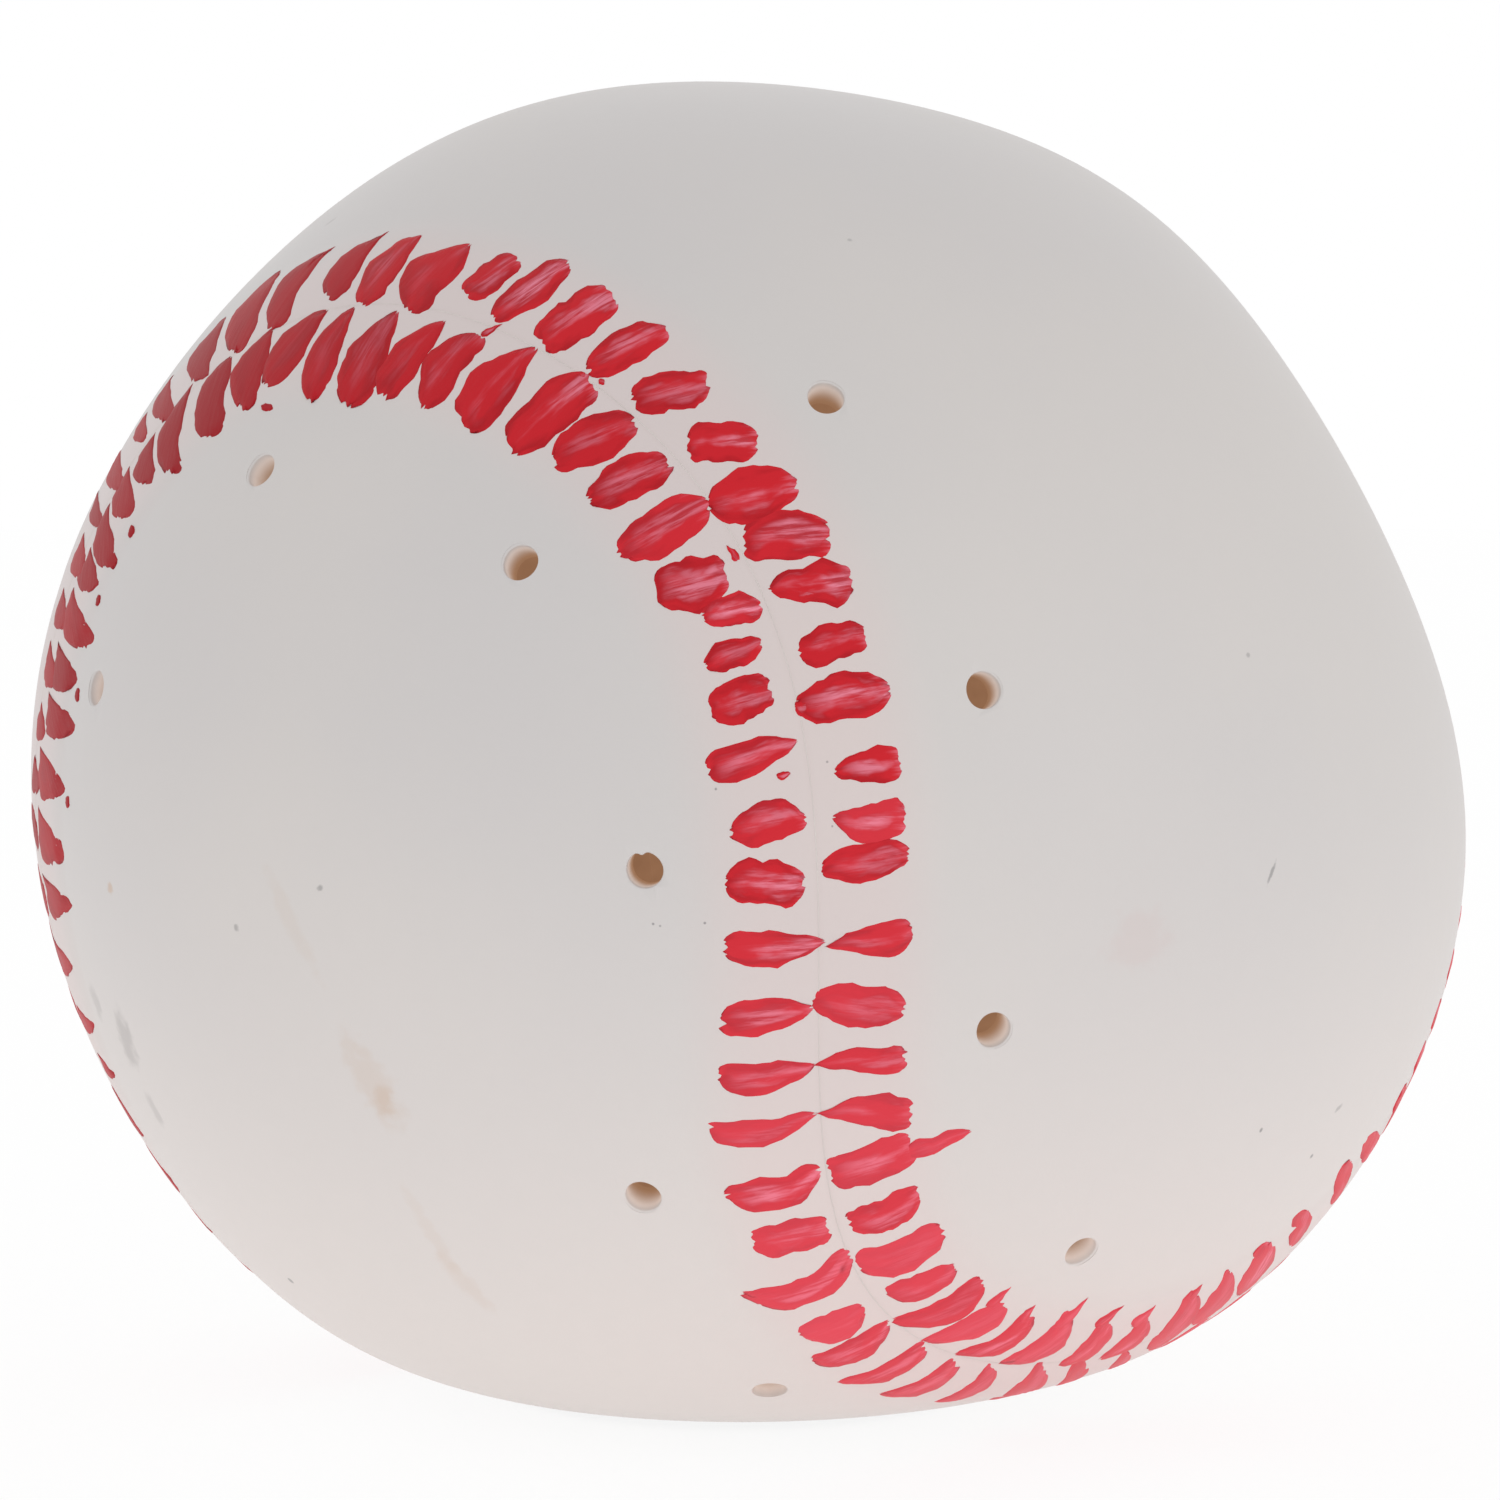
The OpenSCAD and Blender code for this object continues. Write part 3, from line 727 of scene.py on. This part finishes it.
def brush_stroke_tree():
    """Lays a block of paint on each guide point, bends it to the ball and gives it its outline."""
    tree = bpy.data.node_groups.new("brush_strokes", "GeometryNodeTree")
    sockets = [("Guides", "Geometry"), ("Ball", "Object"), ("Thickness", "Float"), ("Bedding", "Float"),
               ("Raggedness", "Float"), ("Paint", "Material")]
    for name, kind in sockets:
        tree.interface.new_socket(name, in_out="INPUT", socket_type="NodeSocket" + kind)
    tree.interface.new_socket("Geometry", in_out="OUTPUT", socket_type="NodeSocketGeometry")
    given = tree.nodes.new("NodeGroupInput").outputs
    result = tree.nodes.new("NodeGroupOutput")

    def named(label, kind="FLOAT"):
        return add(tree, "GeometryNodeInputNamedAttribute", {"Name": label}, data_type=kind).outputs[0]

    def times(*values):
        result_so_far = values[0]
        for value in values[1:]:
            result_so_far = calc(tree, "MULTIPLY", result_so_far, value)
        return result_so_far

    def blocks(x, y, chosen):
        cube = add(tree, "GeometryNodeMeshCube", {"Vertices X": x, "Vertices Y": y, "Vertices Z": 2})
        place = tree.nodes.new("GeometryNodeInputPosition").outputs[0]
        kept = add(tree, "GeometryNodeStoreNamedAttribute",
                   {"Geometry": cube.outputs["Mesh"], "Name": "mark_place"}, data_type="FLOAT_VECTOR")
        tree.links.new(place, kept.inputs["Value"])
        laid = add(tree, "GeometryNodeInstanceOnPoints",
                   {"Points": given["Guides"], "Instance": kept.outputs[0], "Selection": chosen})
        return laid.outputs[0]

    seen = calc(tree, "GREATER_THAN", named("stroke_seen"), 0.5)
    hidden = calc(tree, "SUBTRACT", 1.0, seen)
    joined = tree.nodes.new("GeometryNodeJoinGeometry")
    tree.links.new(blocks(*seen_block, seen), joined.inputs[0])
    tree.links.new(blocks(*hidden_block, hidden), joined.inputs[0])
    real = add(tree, "GeometryNodeRealizeInstances", {0: joined.outputs[0]}).outputs[0]

    block = add(tree, "ShaderNodeSeparateXYZ", {0: named("mark_place", "FLOAT_VECTOR")}).outputs
    seed = named("stroke_seed")
    # u runs from 0.01 at the start of a stroke to 0.99 at its end, and v from -1 to 1 across it.
    u = calc(tree, "ADD", times(calc(tree, "SINE", times(block["X"], math.pi)), 0.49), 0.5)
    v = calc(tree, "SINE", times(block["Y"], math.pi))
    start, end = named("start_taper"), named("end_taper")
    both = calc(tree, "ADD", start, end)
    outline = calc(tree, "MULTIPLY", calc(tree, "POWER", u, start),
                   calc(tree, "POWER", calc(tree, "SUBTRACT", 1.0, u), end))
    peak = calc(tree, "MULTIPLY", calc(tree, "POWER", calc(tree, "DIVIDE", start, both), start),
                calc(tree, "POWER", calc(tree, "DIVIDE", end, both), end))
    outline = calc(tree, "DIVIDE", outline, peak)
    edge = add(tree, "ShaderNodeCombineXYZ",
               {0: times(u, edge_waves_along), 1: times(v, edge_waves_across), 2: seed})
    ragged = calc(tree, "SUBTRACT", noise(tree, edge.outputs[0], 1.0, 3, 0.6), 0.5)
    outline = times(outline, calc(tree, "ADD", times(ragged, given["Raggedness"]), 1.0))
    width = named("stroke_width")
    side_way = times(times(v, outline), times(width, 0.5))
    hump = times(u, calc(tree, "SUBTRACT", 1.0, u), 4.0)
    side_way = calc(tree, "SUBTRACT", side_way, times(hump, named("stroke_sag")))
    hand = add(tree, "ShaderNodeCombineXYZ", {0: times(u, hand_waves), 1: seed})
    waver = times(calc(tree, "SUBTRACT", noise(tree, hand.outputs[0], 1.0, 1), 0.5), waver_share)
    waver = times(waver, calc(tree, "MINIMUM", width, most_waver_width))
    side_way = calc(tree, "ADD", side_way, waver)
    tip_seed = calc(tree, "ADD", seed, 31.0)
    tip = add(tree, "ShaderNodeCombineXYZ", {0: times(v, tip_waves), 1: u, 2: tip_seed})
    tip_wave = calc(tree, "SUBTRACT", noise(tree, tip.outputs[0], 1.0, 4, 0.7), 0.5)
    along_share = calc(tree, "ADD", calc(tree, "SUBTRACT", u, 0.5), times(tip_wave, tip_reach))
    along_way = times(along_share, named("stroke_length"))
    along, out = named("stroke_along", "FLOAT_VECTOR"), named("stroke_out", "FLOAT_VECTOR")
    side = named("stroke_side", "FLOAT_VECTOR")
    centre = named("stroke_middle", "FLOAT_VECTOR")

    def scaled(vector, amount):
        node = add(tree, "ShaderNodeVectorMath", {0: vector}, operation="SCALE")
        tree.links.new(amount, node.inputs["Scale"])
        return node.outputs["Vector"]

    across_ball = vector_calc(tree, "ADD", scaled(along, along_way), scaled(side, side_way))
    flat = vector_calc(tree, "ADD", centre, across_ball)
    ball = add(tree, "GeometryNodeObjectInfo", {"Object": given["Ball"]}, transform_space="RELATIVE")
    above = vector_calc(tree, "ADD", flat, vector_calc(tree, "MULTIPLY", out, (drop_height,) * 3))
    down = vector_calc(tree, "MULTIPLY", out, (-1, -1, -1))
    hit = add(tree, "GeometryNodeRaycast",
              {"Target Geometry": ball.outputs["Geometry"], "Source Position": above,
               "Ray Direction": down, "Ray Length": drop_length})
    fade = calc(tree, "SUBTRACT", 1.0, calc(tree, "POWER", calc(tree, "ABSOLUTE", v), 4.0))
    ends = calc(tree, "MULTIPLY", calc(tree, "MULTIPLY", hump, 3.0, clamp=True), fade)
    top = calc(tree, "ADD", times(ends, given["Thickness"]), skin_clearance)
    low = calc(tree, "MULTIPLY", given["Bedding"], -1.0)
    is_top = calc(tree, "GREATER_THAN", block["Z"], 0.0)
    lift = calc(tree, "ADD", calc(tree, "MULTIPLY", is_top, top),
                calc(tree, "MULTIPLY", calc(tree, "SUBTRACT", 1.0, is_top), low))
    laid = vector_calc(tree, "ADD", hit.outputs["Hit Position"], scaled(out, lift))
    spot = add(tree, "ShaderNodeCombineXYZ", {0: along_way, 1: side_way}).outputs[0]
    marked = add(tree, "GeometryNodeStoreNamedAttribute",
                 {"Geometry": real, "Name": "brush_place"}, data_type="FLOAT_VECTOR")
    tree.links.new(spot, marked.inputs["Value"])
    moved = add(tree, "GeometryNodeSetPosition", {"Geometry": marked.outputs[0], "Position": laid})
    smooth = add(tree, "GeometryNodeSetShadeSmooth", {0: moved.outputs[0]})
    painted = add(tree, "GeometryNodeSetMaterial",
                  {"Geometry": smooth.outputs[0], "Material": given["Paint"]})
    tree.links.new(painted.outputs[0], result.inputs[0])
    return tree


def smooth_ball():
    """Both outsides as one closed form, only to lay the paint on. It is removed afterwards."""
    points, faces, first = [], [], 0
    for side in (left, right):
        rows, tips = panel_directions(side, 0, panel_rows // 2, panel_shares)
        outside = np.concatenate([outside_of(rows).reshape(-1, 3), outside_of(tips)])
        tip = first + len(outside) - 2
        faces += sheet_faces(panel_rows // 2, panel_steps, first, (tip, tip + 1), side == right)
        points.append(outside)
        first += len(outside)
    return mesh_object("smooth_ball", np.concatenate(points), faces)


paint_dark, paint_red, paint_pink_sheen_and_dry = colour(178, 20, 32), colour(206, 30, 42), colour(244, 150, 172)
paint_thin_and_lit, paint_in_painted_shade = colour(234, 82, 98), colour(154, 18, 28)
hair_waves_along, hair_waves_across, paint_gloss = 350.0, 3800.0, 0.15


def paint_material():
    material = bpy.data.materials.new("brushed_red_paint")
    material.use_nodes = True
    tree = material.node_tree
    shader = tree.nodes["Principled BSDF"]

    def read(label, output="Fac"):
        return add(tree, "ShaderNodeAttribute", attribute_name=label).outputs[output]

    block = add(tree, "ShaderNodeSeparateXYZ", {0: read("mark_place", "Vector")}).outputs
    seed = read("stroke_seed")
    along = calc(tree, "ADD", block["X"], 0.5)
    across = calc(tree, "MULTIPLY", block["Y"], 2.0)
    brush = add(tree, "ShaderNodeSeparateXYZ", {0: read("brush_place", "Vector")}).outputs
    hairs = add(tree, "ShaderNodeCombineXYZ", {0: calc(tree, "MULTIPLY", brush["X"], hair_waves_along),
                1: calc(tree, "MULTIPLY", brush["Y"], hair_waves_across), 2: seed})
    streak = noise(tree, hairs.outputs[0], 1.0, 4, 0.65)
    cloud_place = add(tree, "ShaderNodeCombineXYZ", {0: calc(tree, "MULTIPLY", along, 2.2),
                      1: calc(tree, "MULTIPLY", across, 1.5), 2: calc(tree, "ADD", seed, 7.0)})
    cloud = noise(tree, cloud_place.outputs[0], 1.0, 3)
    shade = tint(tree, ease(tree, cloud, 0.35, 0.6), paint_dark, paint_red)
    # Pink streaks down the middle of each stroke are a painted highlight, and the paint ran dry and pink
    # towards the end.
    off_middle = calc(tree, "ADD", calc(tree, "ABSOLUTE", across), calc(tree, "MULTIPLY", cloud, 1.6))
    painted_sheen = ease(tree, off_middle, 1.2, 0.78)
    painted_sheen = calc(tree, "MULTIPLY", painted_sheen, ease(tree, along, 0.12, 0.5))
    dry = ease(tree, calc(tree, "ADD", along, calc(tree, "MULTIPLY", streak, 0.5)), 0.98, 1.3)
    sheen_and_dry = calc(tree, "MAXIMUM", painted_sheen, calc(tree, "MULTIPLY", dry, 0.7))
    hairline = add(tree, "ShaderNodeMapRange",
                   {"Value": streak, "From Min": 0.4, "From Max": 0.58, "To Min": 0.12}).outputs[0]
    light_shade_and_tone = read("stroke_tone")
    # Each stroke gets its own share of the pink, and the ones in painted shade show less of it.
    chance = calc(tree, "FRACT", calc(tree, "MULTIPLY", seed, 0.37))
    pink_share = add(tree, "ShaderNodeMapRange", {"Value": chance, "To Min": 0.3}).outputs[0]
    unshaded = calc(tree, "ADD", calc(tree, "MULTIPLY", light_shade_and_tone, 1.2), 1.0, clamp=True)
    sheen_and_dry_pink = calc(tree, "MULTIPLY", calc(tree, "MULTIPLY", sheen_and_dry, hairline), unshaded)
    sheen_and_dry_pink = calc(tree, "MULTIPLY", sheen_and_dry_pink, pink_share)
    shade = tint(tree, sheen_and_dry_pink, shade, paint_pink_sheen_and_dry)
    # Towards the foot a stroke is painted lighter, partly painted light and partly thin paint; towards the
    # left it is painted darker, painted shade.
    shade = tint(tree, calc(tree, "MAXIMUM", light_shade_and_tone, 0.0), shade, paint_thin_and_lit)
    shade = tint(tree, calc(tree, "MAXIMUM", calc(tree, "MULTIPLY", light_shade_and_tone, -1.0), 0.0), shade, paint_in_painted_shade)
    tree.links.new(shade, shader.inputs["Base Color"])
    rough = add(tree, "ShaderNodeMapRange", {"Value": streak, "To Min": 0.38, "To Max": 0.55})
    tree.links.new(rough.outputs["Result"], shader.inputs["Roughness"])
    shader.inputs["Specular IOR Level"].default_value = paint_gloss
    bump = add(tree, "ShaderNodeBump", {"Strength": 0.2, "Distance": 0.0001, "Height": streak})
    tree.links.new(bump.outputs["Normal"], shader.inputs["Normal"])
    return material


paint = paint_material()
ball_form = smooth_ball()
brush_strokes = brush_stroke_tree()
raggedness = 0.9
brush_inputs = {"Ball": ball_form, "Thickness": paint_thickness, "Bedding": paint_bedding,
                "Raggedness": raggedness, "Paint": paint}
kept_labels = ("stroke_seed", "stroke_tone")
for side, seen, name, node in ((left, left_marks, "painted_marks_left", "stitch_marks_left"),
                               (right, right_marks, "painted_marks_right", "stitch_marks_right")):
    marks = guide_points(name, side, seen, paint_dabs[side])
    middles = marks.data.attributes.new("stroke_middle", "FLOAT_VECTOR", "POINT")
    middles.data.foreach_set("vector", (corner_points(marks.data) - ball_middle).astype(np.float32).ravel())
    brush = marks.modifiers.new("brush", "NODES")
    brush.node_group = brush_strokes
    for socket in brush_strokes.interface.items_tree:
        if socket.name in brush_inputs:
            brush[socket.identifier] = brush_inputs[socket.name]
    finished_mesh(marks)
    for attribute in list(marks.data.attributes):
        if attribute.name.startswith("stroke_") and attribute.name not in kept_labels:
            marks.data.attributes.remove(attribute)
    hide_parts(node)
    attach(marks, "root")
bpy.data.objects.remove(ball_form)

# A plain white floor under the ball, like a sheet of paper. It shows as white to the camera and
# keeps a soft shadow round the foot of the ball.
floor_half = 4.0
floor_glow, floor_glow_share = 1.04, 0.85
floor_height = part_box("panel_left")[0].z


def floor_material():
    material = bpy.data.materials.new("white_floor")
    material.use_nodes = True
    tree = material.node_tree
    tree.nodes.clear()
    place = tree.nodes.new("ShaderNodeTexCoord").outputs["Object"]
    mottle = noise(tree, place, 6, 2)
    paper = tint(tree, mottle, colour(238, 238, 238), colour(242, 242, 242))
    matte = add(tree, "ShaderNodeBsdfDiffuse", {"Color": paper})
    glow = add(tree, "ShaderNodeEmission", {"Color": (1, 1, 1, 1), "Strength": floor_glow})
    path = tree.nodes.new("ShaderNodeLightPath").outputs
    direct = calc(tree, "MAXIMUM", path["Is Camera Ray"], path["Is Glossy Ray"])
    share = calc(tree, "MULTIPLY", direct, floor_glow_share)
    mixed = add(tree, "ShaderNodeMixShader", {0: share, 1: matte.outputs[0], 2: glow.outputs[0]})
    end = tree.nodes.new("ShaderNodeOutputMaterial")
    tree.links.new(mixed.outputs[0], end.inputs["Surface"])
    return material


floor_mesh = bpy.data.meshes.new("floor")
floor_mesh.from_pydata([(-floor_half, -floor_half, floor_height), (floor_half, -floor_half, floor_height),
                        (floor_half, floor_half, floor_height), (-floor_half, floor_half, floor_height)],
                       [], [(0, 1, 2, 3)])
floor = bpy.data.objects.new("floor", floor_mesh)
bpy.context.scene.collection.objects.link(floor)
floor.data.materials.append(floor_material())

# Soft studio light: an even white surround, a lamp in front and to the right, and a faint one
# in the table that throws its light up at the foot. The camera doesn't see the second.
surround_strength = 0.85
world = bpy.data.worlds.new("surround")
bpy.context.scene.world = world
world.use_nodes = True
background = world.node_tree.nodes["Background"]
background.inputs["Color"].default_value = (1, 1, 1, 1)
world_path = world.node_tree.nodes.new("ShaderNodeLightPath").outputs
seen_direct = calc(world.node_tree, "MAXIMUM", world_path["Is Camera Ray"], world_path["Is Glossy Ray"])
level = add(world.node_tree, "ShaderNodeMapRange",
            {"Value": seen_direct, "To Min": surround_strength, "To Max": 1.0})
world.node_tree.links.new(level.outputs["Result"], background.inputs["Strength"])


def lamp(name, place, size, power):
    light = bpy.data.lights.new(name, "AREA")
    light.shape, light.size, light.energy = "DISK", size, power
    thing = bpy.data.objects.new(name, light)
    bpy.context.scene.collection.objects.link(thing)
    thing.location = place
    thing.rotation_euler = (-Vector(place)).to_track_quat("-Z", "Y").to_euler()


lamp("key_lamp", (0.5, -0.5, 0.1), size=0.25, power=0.29)
lamp("table_lamp", (0.0, 0.0, floor_height + 0.0005), size=0.5, power=0.22)
table = bpy.data.objects["table_lamp"]
table.rotation_euler = (math.pi, 0, 0)
table.visible_camera = table.visible_glossy = False

bpy.context.scene.view_settings.view_transform = "Standard"
